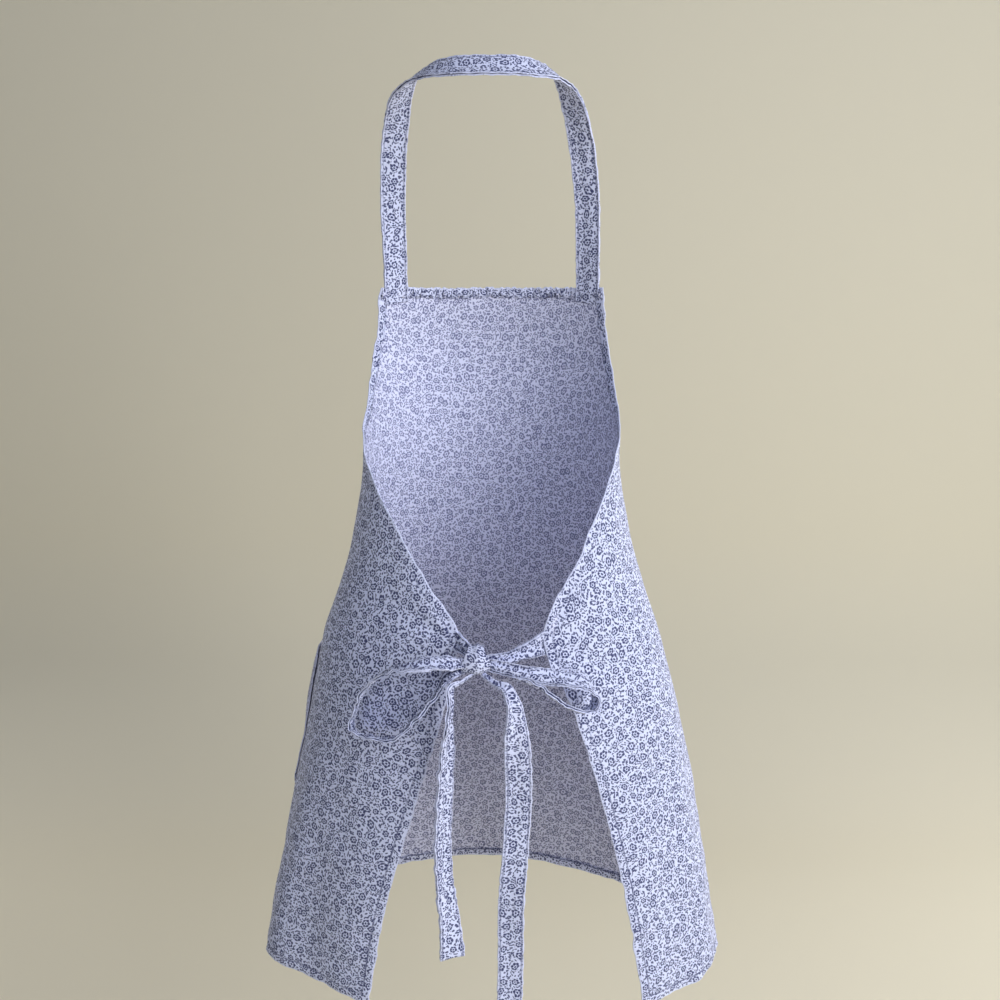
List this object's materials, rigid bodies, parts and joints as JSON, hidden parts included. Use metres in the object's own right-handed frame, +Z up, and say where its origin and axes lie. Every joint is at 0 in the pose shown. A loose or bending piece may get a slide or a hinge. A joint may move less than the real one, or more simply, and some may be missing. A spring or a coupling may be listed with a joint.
{
  "type": "hostess apron",
  "caption": "Bib apron in small-flowered cotton in its worn form: a panel wrapped round the torso with an open back, a neck strap, a hip pocket and waist ties in a bow",
  "frame": {"origin": "on the inner face of the neck strap, where it rests on the nape", "axes": "+X is the wearer's right, +Y is the wearer's front, +Z is up; the bow faces -Y"},
  "size_m": [0.4946, 0.3174, 0.9133],
  "materials": {
    "panel_cloth": "matte printed cotton",
    "strap_cloth": "matte printed cotton"
  },
  "bodies": {
    "root": {"panel": "panel_cloth", "pocket": "panel_cloth", "neck_strap": "strap_cloth", "tie_left": "strap_cloth", "tie_right": "strap_cloth", "bow_knot": "strap_cloth", "bow_loop_left": "strap_cloth", "bow_loop_right": "strap_cloth", "tail_left": "strap_cloth", "tail_right": "strap_cloth"}
  },
  "joints": []
}
